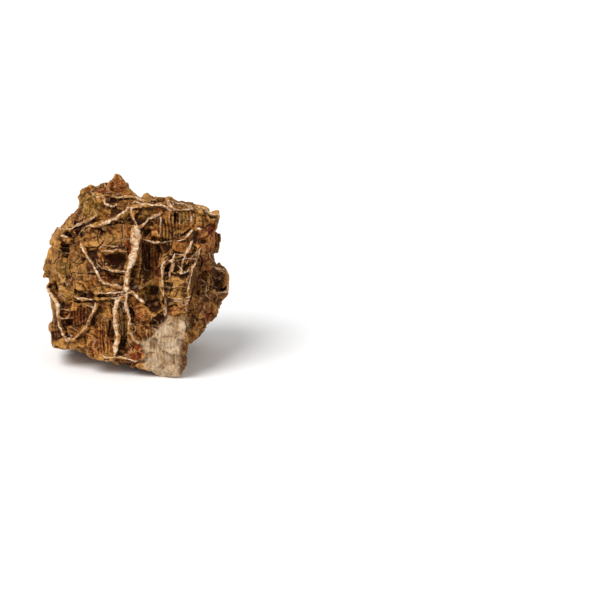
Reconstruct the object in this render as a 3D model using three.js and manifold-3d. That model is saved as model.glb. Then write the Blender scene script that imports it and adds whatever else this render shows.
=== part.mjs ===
// Maple leaf rock: one natural stone about 155 mm wide, ochre and rust blocks held in a net of pale veins.
// Millimetres, +Z up, the viewer in front at -Y and a little above. Origin: middle of the base.

import * as THREE from 'three';
import { ConvexGeometry } from 'three/addons/geometries/ConvexGeometry.js';
import { mergeVertices } from 'three/addons/utils/BufferGeometryUtils.js';
import Module from 'manifold-3d';

// The main outlines: from the front (x, height), from above (x, y) and from the left side (y, z).
// The front is seen from a little above, so its heights run square to the line of sight,
// and they start at the lowest corner of the foot, which lies below the origin in that view.
const SIGHT_ELEVATION = THREE.MathUtils.degToRad(15);
const FOOT_CORNER_HEIGHT = -13;
const FRONT_OUTLINE = [
  [-26, 157], [-19, 158], [-10, 156], [-5, 157], [6, 148], [17, 143], [27, 144], [39, 141],
  [55, 138], [65, 132], [68, 125], [66, 98], [68, 90], [74, 85], [77, 78], [75, 67], [68, 62],
  [62, 48], [52, 40], [47, 32], [39, 27], [37, 10], [31, 0], [12, 1], [-4, 6], [-8, 10], [-28, 11],
  [-40, 20], [-47, 22], [-53, 18], [-65, 22], [-71, 30], [-75, 68], [-74, 90], [-70, 107],
  [-65, 119], [-61, 126], [-52, 129], [-46, 134], [-45, 143], [-41, 150], [-32, 153],
];
const PLAN_OUTLINE = [
  [-76, 5], [-66, -18], [-38, -36], [-8, -46], [18, -56], [34, -60], [46, -50], [58, -34], [70, -12],
  [77, 12], [71, 36], [52, 52], [18, 60], [-18, 57], [-48, 50], [-70, 32],
];
const SIDE_OUTLINE = [
  [-58, 0], [-61, 22], [-58, 48], [-52, 84], [-45, 118], [-38, 136], [-20, 148], [0, 154], [20, 150],
  [40, 132], [54, 100], [61, 62], [58, 24], [46, 0],
];

// The body is kept this far inside the outlines, and the blocks and veins bring it back out to them.
const BODY_SHRINK = 5;
const MAX_MITRE = 2;
const PRISM_LENGTH = 400;
const WELD_TOLERANCE = 1e-4;

// Angular blocks lie over the whole surface with their length in the tilted beds,
// and gouges and pits mark where others broke out. The surface facing them is the shrunken body's.
const SEED = 20611;
const BED_DIP = THREE.MathUtils.degToRad(8);
const BED_SWING = THREE.MathUtils.degToRad(16);
const BLOCK_LEAN = THREE.MathUtils.degToRad(17);
const CORNER_KEPT = [0.54, 1];
const GOLDEN_ANGLE = Math.PI * (3 - Math.sqrt(5));
const ALONG_THE_BEDS = 0.8;
const HEART = new THREE.Vector3(0, 0, 72);
// Farther than any part of the stone lies from its heart.
const REACH = 300;
const BLOCK_LAYERS = [
  { count: 22, length: [34, 60], height: [20, 36], thickness: [14, 20], proud: [2, 5.5] },
  { count: 66, length: [15, 34], height: [10, 20], thickness: [10, 16], proud: [3, 7] },
];
// No block reaches farther than this outside the outlines, and those that face the viewer stay low,
// so that the veins drawn there stand clear of them.
const BLOCK_LIMIT = 1;
const FRONT_FACING = -0.45;
const FRONT_BLOCK_SHARE = 0.35;
const PIT_LAYERS = [
  { count: 13, length: [26, 48], height: [8, 16], thickness: [14, 22], sink: [1, 5] },
  { count: 22, length: [8, 18], height: [5, 10], thickness: [12, 18], sink: [4, 8] },
];

// Blocks that stand out in the front view: corners (x, height), and how far each stands proud.
const FRONT_BLOCKS = [
  { name: 'upper left lump', proud: 4,
    corners: [[-44, 144], [-40, 150], [-33, 149], [-26, 144], [-23, 137], [-29, 130], [-40, 129]] },
  { name: 'crown slab', proud: 3,
    corners: [[-7, 145], [8, 144], [20, 139], [17, 134], [4, 136], [-7, 140]] },
  { name: 'brow left', proud: 3,
    corners: [[-42, 117], [-36, 120], [-29, 120], [-24, 117], [-26, 112], [-42, 111]] },
  { name: 'brow right', proud: 2.5, corners: [[-23, 117], [-15, 119], [-10, 112], [-12, 107], [-27, 110]] },
  { name: 'brow foot', proud: 3, corners: [[-41, 109], [-34, 110], [-27, 107], [-29, 104], [-38, 104]] },
  { name: 'left stack upper', proud: 2.5, corners: [[-52, 98], [-42, 98], [-40, 89], [-42, 81], [-50, 83]] },
  { name: 'left stack lower', proud: 3, corners: [[-52, 80], [-40, 81], [-29, 73], [-32, 68], [-51, 70]] },
  { name: 'shelf slab', proud: 4, corners: [[-34, 72], [-24, 74], [-13, 72], [-13, 67], [-34, 67]] },
  { name: 'left plate', proud: 1.5, corners: [[-67, 92], [-58, 95], [-52, 91], [-52, 83], [-66, 84]] },
  { name: 'tan block', proud: 3, corners: [[38, 132], [52, 134], [56, 124], [54, 119], [38, 121]] },
  { name: 'rust shoulder', proud: 3,
    corners: [[46, 114], [57, 118], [66, 116], [66, 104], [59, 100], [46, 108]] },
  { name: 'middle block', proud: 3, corners: [[20, 80], [30, 83], [38, 80], [37, 64], [28, 62], [20, 65]] },
  { name: 'block below it', proud: 2, corners: [[24, 59], [36, 61], [40, 56], [36, 50], [25, 49]] },
  { name: 'orange face', proud: 2, corners: [[-6, 63], [4, 61], [7, 52], [6, 44], [-7, 56]] },
  { name: 'rust panel', proud: 2.5,
    corners: [[-38, 41], [-28, 46], [-19, 41], [-20, 28], [-28, 20], [-36, 25]] },
  { name: 'hem block', proud: 2, corners: [[-30, 21], [-18, 24], [-12, 19], [-18, 12], [-27, 12]] },
  { name: 'red hem', proud: 2.5, corners: [[-8, 26], [5, 27], [6, 16], [-2, 13], [-8, 16]] },
  { name: 'right lower block', proud: 3, corners: [[46, 57], [56, 62], [60, 56], [54, 43], [42, 45]] },
  { name: 'ribbed block', proud: 2, corners: [[10, 121], [20, 124], [22, 113], [19, 107], [11, 112]] },
];

// Hollows and slots of the front view: corners (x, height), and how deep each is sunk.
const FRONT_HOLLOWS = [
  { name: 'shoulder hollow', sink: 6, corners: [[-55, 118], [-50, 119], [-46, 116], [-48, 112], [-53, 114]] },
  { name: 'upper left slot', sink: 8, corners: [[-58, 107], [-53, 109], [-51, 99], [-55, 96], [-59, 99]] },
  { name: 'edge hole', sink: 7, corners: [[-69, 79], [-64, 81], [-61, 75], [-64, 70], [-68, 71]] },
  { name: 'crown hole', sink: 9, corners: [[-23, 141], [-12, 143], [-8, 140], [-13, 137], [-20, 138]] },
  { name: 'crown slot', sink: 5, corners: [[-5, 138], [5, 136], [4, 134], [-4, 135]] },
  { name: 'brow slot', sink: 6, corners: [[-40, 104], [-29, 104], [-28, 102], [-39, 102]] },
  { name: 'upper cell', sink: 5, corners: [[-27, 101], [-9, 101], [-8, 92], [-16, 89], [-27, 94]] },
  { name: 'lower cell', sink: 4,
    corners: [[-29, 88], [-21, 88], [-10, 84], [-12, 78], [-21, 76], [-27, 80]] },
  { name: 'shelf slot', sink: 11, corners: [[-34, 66], [-13, 67], [-13, 64], [-33, 64]] },
  { name: 'red cell', sink: 4,
    corners: [[-54, 57], [-31, 61], [-36, 51], [-44, 40], [-52, 38], [-58, 48]] },
  { name: 'red cell pit', sink: 7, corners: [[-58, 47], [-52, 48], [-55, 41]] },
  { name: 'leg slot', sink: 8, corners: [[-24, 41], [-18, 41], [-19, 30], [-23, 30]] },
  { name: 'between the legs', sink: 5, corners: [[-16, 40], [-9, 43], [-7, 32], [-12, 22], [-16, 25]] },
  { name: 'main recess', sink: 12,
    corners: [[6, 111], [14, 112], [20, 105], [20, 91], [16, 80], [8, 76], [2, 81], [5, 92]] },
  { name: 'recess foot', sink: 9,
    corners: [[3, 73], [14, 76], [19, 72], [20, 57], [16, 49], [8, 52], [0, 65]] },
  { name: 'recess head', sink: 6, corners: [[9, 115], [20, 110], [30, 108], [27, 99], [20, 97], [12, 108]] },
  { name: 'right wing', sink: 5, corners: [[40, 96], [54, 99], [60, 88], [57, 68], [46, 59], [40, 65]] },
  { name: 'handle hole', sink: 9, corners: [[62, 81], [72, 80], [73, 73], [64, 71]] },
  { name: 'net hole left', sink: 5, corners: [[21, 91], [25, 91], [24, 84], [21, 83]] },
  { name: 'net hole right', sink: 5, corners: [[33, 89], [43, 91], [41, 84], [35, 83]] },
  { name: 'rib groove', sink: 6, corners: [[30, 132], [33, 132], [34, 122], [30, 121]] },
  { name: 'corner notch', sink: 6, corners: [[51, 133], [61, 130], [60, 128], [52, 130]] },
  { name: 'under the block', sink: 6, corners: [[8, 46], [20, 56], [23, 48], [14, 41], [8, 40]] },
  { name: 'right hole', sink: 6, corners: [[59, 97], [66, 96], [67, 88], [61, 84]] },
];
const BLOCK_ROOT = 9;
const BLOCK_TOP_SHARE = 0.8;
const HOLLOW_MOUTH_SHARE = 1.12;
const HOLLOW_FLOOR_SHARE = 0.66;
const HOLLOW_CLEARANCE = 8;

// Standing veins of the front view: width, and a path (x, height) through each.
const FRONT_VEINS = [
  { name: 'shoulder', width: 2.4, path: [[-62, 119], [-47, 122], [-29, 130]] },
  { name: 'brow', width: 2.8, path: [[-43, 117], [-31, 122], [-12, 128], [-1, 136], [18, 136]] },
  { name: 'brow right', width: 1.8, path: [[18, 135], [44, 133]] },
  { name: 'crown', width: 1.8, path: [[-9, 144], [6, 140], [18, 141]] },
  { name: 'knob', width: 2, path: [[-33, 148], [-25, 144], [-22, 137], [-14, 139]] },
  { name: 'diagonal', width: 2.2,
    path: [[-43, 109], [-39, 100], [-32, 89], [-30, 80], [-22, 76], [-8, 70]] },
  { name: 'upper shelf', width: 2, path: [[-31, 96], [-27, 91], [-17, 86], [-8, 86]] },
  { name: 'cell lid', width: 1.6, path: [[-28, 102], [-9, 101]] },
  { name: 'left fork', width: 2, path: [[-3, 134], [-2, 128], [0, 121]] },
  { name: 'right fork', width: 2, path: [[18, 130], [13, 128], [7, 123], [1, 120]] },
  { name: 'recess lintel', width: 1.4, path: [[5, 110], [18, 107]] },
  { name: 'junction right', width: 2.6, path: [[-7, 71], [-1, 67], [5, 61]] },
  { name: 'slot lid', width: 1.8, path: [[-34, 69], [-14, 69]] },
  { name: 'slot sill', width: 2, path: [[-50, 66], [-44, 64], [-20, 65], [-13, 67]] },
  { name: 'left bend', width: 2, path: [[-31, 61], [-34, 55], [-40, 43], [-50, 34], [-56, 31]] },
  { name: 'left edge', width: 2.6,
    path: [[-73, 76], [-64, 63], [-62, 54], [-63, 48], [-58, 33], [-50, 32]] },
  { name: 'left rung', width: 1.4, path: [[-62, 50], [-53, 50]] },
  { name: 'hem', width: 1.8, path: [[-30, 21], [-22, 18], [-4, 16]] },
  { name: 'slash', width: 1.8, path: [[51, 116], [43, 117], [39, 113], [32, 108]] },
  { name: 'net left', width: 1.8, path: [[19, 81], [21, 90], [37, 98]] },
  { name: 'net middle', width: 1.4, path: [[30, 96], [28, 90], [27, 83], [37, 84], [42, 86]] },
  { name: 'net right', width: 1.6, path: [[43, 108], [48, 104], [45, 91], [40, 79]] },
  { name: 'net cross', width: 1.4, path: [[44, 109], [38, 96], [32, 82]] },
  { name: 'block left', width: 2.6, path: [[18, 80], [18, 73], [19, 63], [20, 56]] },
  { name: 'block right', width: 1.6, path: [[38, 82], [40, 70], [38, 54]] },
  { name: 'handle', width: 2, path: [[60, 87], [73, 82], [72, 67], [63, 66]] },
  { name: 'corner', width: 1.6, path: [[51, 132], [55, 129], [58, 123]] },
];
const TRUNK_VEINS = [
  { name: 'trunk', width: 6.5, path: [[1, 122], [-1, 115], [-1, 101], [-6, 88], [-8, 80], [-7, 71]] },
  { name: 'left leg', width: 3.8, path: [[-8, 70], [-16, 62], [-17, 52], [-16, 33], [-19, 20]] },
  { name: 'right leg', width: 2.8, path: [[-8, 68], [-10, 62], [-8, 52], [-6, 37], [1, 28]] },
];
const VEIN_PROUD = 0.6;
const TRUNK_PROUD = 2.2;
const VEIN_TIP_SHARE = 0.55;
const VEIN_SWELL = [0.85, 1.15];
const VEIN_ROOT = 16;

// Vein walls on the sides, top and back: short straight plates that cross each other at random.
const WALLS = { count: 16, length: [26, 58], depth: [20, 30], thickness: [1.4, 2.6] };
const WALL_LEAN = THREE.MathUtils.degToRad(18);

// Two lumps that shape the outline: corners (x, height, depth along the line of sight).
const PEAK_CORNERS = [
  [-14, 163, -42], [-11, 161, -38], [-20, 157, -47], [-8, 156, -36], [-23, 148, -52], [-3, 148, -52],
  [-21, 149, -28], [-6, 148, -28],
];
const FOOT_CORNERS = [
  [31, 0, -48], [13, 2, -41], [5, 9, -44], [5, 29, -58], [13, 38, -64], [22, 46, -68], [30, 49, -70],
  [37, 46, -70], [39, 34, -66], [37, 10, -55], [31, 4, -5], [8, 12, -5], [38, 40, -20], [8, 36, -20],
];

const SIGHT = new THREE.Vector3(0, Math.cos(SIGHT_ELEVATION), -Math.sin(SIGHT_ELEVATION));
const PICTURE_UP = new THREE.Vector3(0, Math.sin(SIGHT_ELEVATION), Math.cos(SIGHT_ELEVATION));
const UP = new THREE.Vector3(0, 0, 1);

const wasm = await Module();
wasm.setup();

// A repeatable number inside a range, so the stone is the same each time it is built.
function within([low, high]) {
  return THREE.MathUtils.lerp(low, high, THREE.MathUtils.seededRandom());
}

function solidFrom(geometry) {
  const plain = geometry.index ? geometry.toNonIndexed() : geometry.clone();
  plain.deleteAttribute('normal');
  plain.deleteAttribute('uv');
  const welded = mergeVertices(plain, WELD_TOLERANCE);
  return new wasm.Manifold(new wasm.Mesh({
    numProp: 3,
    vertProperties: welded.attributes.position.array,
    triVerts: Uint32Array.from(welded.index.array),
  }));
}

function geometryFrom(solid) {
  const mesh = solid.getMesh();
  const geometry = new THREE.BufferGeometry();
  geometry.setAttribute('position', new THREE.BufferAttribute(mesh.vertProperties, 3));
  geometry.setIndex(new THREE.BufferAttribute(mesh.triVerts, 1));
  const faceted = geometry.toNonIndexed();
  faceted.computeVertexNormals();
  return faceted;
}

function joined(solids) {
  return solids.reduce((whole, solid) => whole.add(solid));
}

// The outer skin alone: walls that cross a pit can close off a pocket inside, and this fills it.
function withoutPockets(solid) {
  const pieces = solid.decompose();
  return pieces.reduce((largest, piece) => (piece.volume() > largest.volume() ? piece : largest));
}

// Each corner moves outward along the mean of its two edges' normals.
function grownOutline(corners, growth) {
  const points = corners.map(([a, b]) => new THREE.Vector2(a, b));
  const turn = THREE.ShapeUtils.isClockWise(points) ? -1 : 1;
  const normals = points.map((point, index) => {
    const next = points[(index + 1) % points.length];
    return new THREE.Vector2(next.y - point.y, point.x - next.x).normalize().multiplyScalar(turn);
  });
  return points.map((point, index) => {
    const before = normals[(index + points.length - 1) % points.length];
    const middle = before.clone().add(normals[index]).normalize();
    const mitre = Math.min(1 / middle.dot(normals[index]), MAX_MITRE);
    return point.clone().addScaledVector(middle, growth * mitre);
  });
}

function prism(points, length, start) {
  const shape = new THREE.Shape(points);
  const geometry = new THREE.ExtrudeGeometry(shape, { depth: length, bevelEnabled: false });
  return geometry.translate(0, 0, start);
}

// Stands a prism drawn in the front view along the line of sight, its far end towards the viewer.
function alongSight(geometry) {
  geometry.translate(0, FOOT_CORNER_HEIGHT, 0);
  return solidFrom(geometry.rotateX(Math.PI / 2 - SIGHT_ELEVATION));
}

// What all three outlines hold together, each moved outward by the same growth.
function envelope(growth) {
  const [front, plan, side] = [FRONT_OUTLINE, PLAN_OUTLINE, SIDE_OUTLINE].map((outline) => (
    prism(grownOutline(outline, growth), PRISM_LENGTH, -PRISM_LENGTH / 2)
  ));
  const acrossX = new THREE.Matrix4().makeBasis(
    new THREE.Vector3(0, 1, 0), new THREE.Vector3(0, 0, 1), new THREE.Vector3(1, 0, 0),
  );
  side.applyMatrix4(acrossX);
  return alongSight(front).intersect(solidFrom(plan)).intersect(solidFrom(side));
}

function picturePoint([x, height, depth = 0]) {
  return new THREE.Vector3(x, 0, 0)
    .addScaledVector(PICTURE_UP, height + FOOT_CORNER_HEIGHT)
    .addScaledVector(SIGHT, depth);
}

// Where a line first meets the surface, and the direction that the surface faces there.
function touch(surface, origin, direction) {
  const [hit] = new THREE.Raycaster(origin, direction).intersectObject(surface);
  return hit && { point: hit.point, normal: hit.face.normal.clone() };
}

function touchFromFront(surface, corner) {
  const origin = picturePoint([corner[0], corner[1], -REACH]);
  return touch(surface, origin, SIGHT);
}

// Spots spread evenly over the whole surface, found from outside towards the heart of the stone.
function spreadTouches(surface, count) {
  return Array.from({ length: count }, (unused, index) => {
    const rise = 1 - (2 * index + 1) / count;
    const reach = Math.sqrt(1 - rise * rise);
    const angle = index * GOLDEN_ANGLE;
    const outward = new THREE.Vector3(reach * Math.cos(angle), reach * Math.sin(angle), rise);
    const origin = HEART.clone().addScaledVector(outward, REACH);
    return touch(surface, origin, outward.negate());
  });
}

// The turn that lays a lump flat on the surface with its length along the tilted beds.
function bedding(normal) {
  const along = new THREE.Vector3(Math.cos(BED_DIP), 0, -Math.sin(BED_DIP));
  const sideways = Math.abs(normal.dot(along)) > ALONG_THE_BEDS ? new THREE.Vector3(0, 1, 0) : along;
  const length = sideways.addScaledVector(normal, -sideways.dot(normal)).normalize();
  const height = new THREE.Vector3().crossVectors(normal, length);
  return new THREE.Matrix4().makeBasis(length, height, normal);
}

// The corners of an angular lump about the origin, leaning a little, with each corner worn back at random.
function lumpCorners({ length, height, thickness }, normal) {
  const size = new THREE.Vector3(within(length), within(height), within(thickness));
  const lean = new THREE.Euler(
    within([-BLOCK_LEAN, BLOCK_LEAN]),
    within([-BLOCK_LEAN, BLOCK_LEAN]),
    within([-BED_SWING, BED_SWING]),
  );
  const signs = [-0.5, 0.5];
  const corners = signs.flatMap((a) => signs.flatMap((b) => signs.map((c) => new THREE.Vector3(a, b, c))));
  return corners.map((corner) => {
    const kept = new THREE.Vector3(within(CORNER_KEPT), within(CORNER_KEPT), within(CORNER_KEPT));
    return corner.multiply(size).multiply(kept).applyEuler(lean).applyMatrix4(bedding(normal));
  });
}

// A lump over a spot on the surface, its outermost corner this far out from it.
function setOut(layer, spot) {
  const corners = lumpCorners(layer, spot.normal);
  const reach = Math.max(...corners.map((corner) => corner.dot(spot.normal)));
  const share = spot.normal.dot(SIGHT) < FRONT_FACING ? FRONT_BLOCK_SHARE : 1;
  const proud = share * within(layer.proud);
  const middle = spot.point.clone().addScaledVector(spot.normal, proud - reach);
  return solidFrom(new ConvexGeometry(corners.map((corner) => corner.add(middle))));
}

// A lump to cut away, its innermost corner sunk this far into the surface.
function setIn(layer, spot) {
  const corners = lumpCorners(layer, spot.normal);
  const depth = Math.min(...corners.map((corner) => corner.dot(spot.normal)));
  const middle = spot.point.clone().addScaledVector(spot.normal, -within(layer.sink) - depth);
  return solidFrom(new ConvexGeometry(corners.map((corner) => corner.add(middle))));
}

function scattered(layers, surface, place) {
  return layers.flatMap((layer) => spreadTouches(surface, layer.count).map((spot) => place(layer, spot)));
}

// Two rings of corners, one out from the surface and one in from it, each drawn in or out from its middle.
function frontLump(surface, corners, outer, inner) {
  const spots = corners.map((corner) => touchFromFront(surface, corner)).filter(Boolean);
  const middle = new THREE.Vector3();
  const facing = new THREE.Vector3();
  spots.forEach((spot) => {
    middle.addScaledVector(spot.point, 1 / spots.length);
    facing.add(spot.normal);
  });
  facing.normalize();
  const rings = [outer, inner].flatMap((ring) => spots.map((spot) => (
    middle.clone().lerp(spot.point, ring.share).addScaledVector(facing, ring.offset)
  )));
  return solidFrom(new ConvexGeometry(rings));
}

function frontBlock(surface, block) {
  const top = { share: BLOCK_TOP_SHARE, offset: block.proud };
  return frontLump(surface, block.corners, top, { share: 1, offset: -BLOCK_ROOT });
}

function frontHollow(surface, hollow) {
  const mouth = { share: HOLLOW_MOUTH_SHARE, offset: HOLLOW_CLEARANCE };
  return frontLump(surface, hollow.corners, mouth, { share: HOLLOW_FLOOR_SHARE, offset: -hollow.sink });
}

// A band along a path in the front view, narrower at both ends, from inside the stone to the viewer.
function ribbon(surface, { path, width }) {
  const points = path.map(([x, height]) => new THREE.Vector2(x, height));
  const sides = points.map((point, index) => {
    const before = points[Math.max(index - 1, 0)];
    const after = points[Math.min(index + 1, points.length - 1)];
    const across = after.clone().sub(before).normalize().rotateAround(new THREE.Vector2(), Math.PI / 2);
    const atTip = index === 0 || index === points.length - 1;
    return across.multiplyScalar(width / 2 * (atTip ? VEIN_TIP_SHARE : within(VEIN_SWELL)));
  });
  const left = points.map((point, index) => point.clone().add(sides[index]));
  const right = points.map((point, index) => point.clone().sub(sides[index])).reverse();
  const spots = path.map((corner) => touchFromFront(surface, corner)).filter(Boolean);
  const root = Math.max(...spots.map((spot) => spot.point.dot(SIGHT))) + VEIN_ROOT;
  return alongSight(prism([...right, ...left], REACH, -root));
}

function wallPlate(spot) {
  const size = [within(WALLS.length), within(WALLS.thickness), within(WALLS.depth)];
  const geometry = new THREE.BoxGeometry(...size);
  geometry.rotateX(within([-WALL_LEAN, WALL_LEAN]));
  geometry.rotateZ(within([0, Math.PI]));
  geometry.applyQuaternion(new THREE.Quaternion().setFromUnitVectors(UP, spot.normal));
  return solidFrom(geometry.translate(...spot.point));
}

function scatteredWalls(surface) {
  return spreadTouches(surface, WALLS.count)
    .filter((spot) => spot.normal.dot(SIGHT) > FRONT_FACING)
    .map(wallPlate);
}

function buildStone() {
  THREE.MathUtils.seededRandom(SEED);
  const body = envelope(-BODY_SHRINK);
  const surface = new THREE.Mesh(geometryFrom(body));
  const lumps = [PEAK_CORNERS, FOOT_CORNERS].map((corners) => (
    solidFrom(new ConvexGeometry(corners.map(picturePoint)))
  ));
  const blocks = [
    ...scattered(BLOCK_LAYERS, surface, setOut),
    ...FRONT_BLOCKS.map((block) => frontBlock(surface, block)),
  ];
  const hollows = [
    ...scattered(PIT_LAYERS, surface, setIn),
    ...FRONT_HOLLOWS.map((hollow) => frontHollow(surface, hollow)),
  ];
  const ribbons = FRONT_VEINS.map((vein) => ribbon(surface, vein));
  const veins = joined([...ribbons, ...scatteredWalls(surface)]).intersect(envelope(VEIN_PROUD));
  const trunk = joined(TRUNK_VEINS.map((vein) => ribbon(surface, vein))).intersect(envelope(TRUNK_PROUD));
  const rough = joined([joined([body, ...blocks]).intersect(envelope(BLOCK_LIMIT)), ...lumps]);
  return withoutPockets(rough.subtract(joined(hollows)).add(veins).add(trunk));
}

// Cuts the underside level with the floor and puts the origin in the middle of the base.
function settled(solid) {
  const aboveFloor = new THREE.BoxGeometry(PRISM_LENGTH, PRISM_LENGTH, PRISM_LENGTH);
  const cut = solid.intersect(solidFrom(aboveFloor.translate(0, 0, PRISM_LENGTH / 2)));
  const geometry = geometryFrom(cut);
  geometry.computeBoundingBox();
  const { min, max } = geometry.boundingBox;
  return geometry.translate(-(min.x + max.x) / 2, -(min.y + max.y) / 2, -min.z);
}

const stone = new THREE.Mesh(
  settled(buildStone()),
  new THREE.MeshStandardMaterial({ color: 0x96703f, roughness: 0.85, metalness: 0 }),
);
stone.name = 'stone';

const rock = new THREE.Group();
rock.name = 'maple_leaf_rock';
rock.add(stone);

export default rock;
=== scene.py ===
"""Maple leaf rock: the dressed stone, its camera, floor and light, laid out as a Blender add-on."""
import math

import bmesh
import bpy
import numpy as np
from bpy.props import FloatProperty, FloatVectorProperty, IntProperty, PointerProperty
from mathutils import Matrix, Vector


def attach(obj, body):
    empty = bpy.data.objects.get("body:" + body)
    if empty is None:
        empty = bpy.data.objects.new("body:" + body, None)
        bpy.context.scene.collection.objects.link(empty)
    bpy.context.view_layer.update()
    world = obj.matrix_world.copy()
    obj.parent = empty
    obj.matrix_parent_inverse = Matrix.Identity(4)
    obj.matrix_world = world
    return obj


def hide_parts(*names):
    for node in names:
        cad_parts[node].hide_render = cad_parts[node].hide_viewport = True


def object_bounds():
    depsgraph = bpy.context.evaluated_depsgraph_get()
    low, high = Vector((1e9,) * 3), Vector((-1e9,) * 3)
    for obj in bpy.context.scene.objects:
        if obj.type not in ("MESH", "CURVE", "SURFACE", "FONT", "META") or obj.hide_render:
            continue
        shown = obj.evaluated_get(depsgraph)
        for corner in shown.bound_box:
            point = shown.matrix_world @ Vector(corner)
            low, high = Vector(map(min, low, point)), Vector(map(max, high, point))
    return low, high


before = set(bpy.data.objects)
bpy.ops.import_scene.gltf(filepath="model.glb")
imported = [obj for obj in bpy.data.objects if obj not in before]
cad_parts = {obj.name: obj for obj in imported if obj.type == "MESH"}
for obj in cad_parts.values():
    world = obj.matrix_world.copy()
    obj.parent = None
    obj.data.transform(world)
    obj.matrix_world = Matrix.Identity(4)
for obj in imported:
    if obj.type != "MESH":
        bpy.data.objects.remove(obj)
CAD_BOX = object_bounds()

bl_info = {
    "name": "Maple Leaf Rock",
    "version": (1, 0, 0),
    "blender": (4, 5, 0),
    "location": "3D View > Sidebar > Rock",
    "description": "Dresses the maple leaf rock and sets up its stage",
    "category": "Object",
}

MM = 0.001

# The front view: x to the viewer's right and height square to the line of sight, in millimetres.
SIGHT_ELEVATION = math.radians(15)
SIGHT = np.array([0.0, math.cos(SIGHT_ELEVATION), -math.sin(SIGHT_ELEVATION)])
PICTURE_UP = np.array([0.0, math.sin(SIGHT_ELEVATION), math.cos(SIGHT_ELEVATION)])
FOOT_CORNER_HEIGHT = -13.0
DRAWN_MIDDLE = np.array([0.4, -0.7, 0.0])
# The drawn front fades out between these depths along the line of sight, and a drawn vein tapers over this
# share of its length at each end.
FLANK_DEPTHS = (-22.0, 4.0)
TAPERED_SHARE = 0.14
# How far drawn lines and places wander from where they are drawn, in millimetres.
WANDER = 0.55

# The relief of the surface, in millimetres.
BED_DIP = math.radians(8)
BED_SPACING = 1.9
BED_RELIEF = 0.16
RIB_SPACING = 2.6
RIB_RELIEF = 0.5
GRAIN_RELIEF = 0.13
# How long, wide and high blocks, chips and the meshes of the thick vein net are, as shares of their size.
BLOCK_SHAPE = np.array([1.25, 1.1, 0.72])
CHIP_SHAPE = np.array([1.2, 1.1, 0.75])
NET_SHAPE = np.array([1.0, 1.0, 1.25])
BLOCK_LEAN = 0.11
CHIP_LEAN = 0.14
# The stone's outline in the front view: how wide a band it is, how much it is worn smooth, and how much of
# the relief is left out there.
OUTLINE_BAND = 0.3
OUTLINE_WEAR = 0.8
OUTLINE_CALM = 0.5
# How much of the relief the far side has, and how much more of it the front has.
FAR_SIDE_RELIEF, FRONT_MORE_RELIEF = 0.55, 0.45
# How often points or directions are averaged with their neighbours'.
WEAR_ROUNDS = 24
HEALED_ROUNDS, BLOCK_ROUNDS, CHIP_ROUNDS, MASK_ROUNDS = 5, 8, 10, 4
CLOSE_ROUNDS, WIDE_ROUNDS = 5, 24
# A reach that no line has, in half widths.
OUT_OF_REACH = 9.0
CRACK_HALF_WIDTH = 0.55
# Where a line's colour starts and is full, where what is kept of it fades out, and where the edge of a place
# of colour fades, in half widths.
LINE_EDGE = (1.15, 0.6)
DRAWN_FADE, NET_FADE = (2.2, 3.0), (2.2, 3.2)
PLACE_EDGE = (0.6, 1.3)

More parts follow.
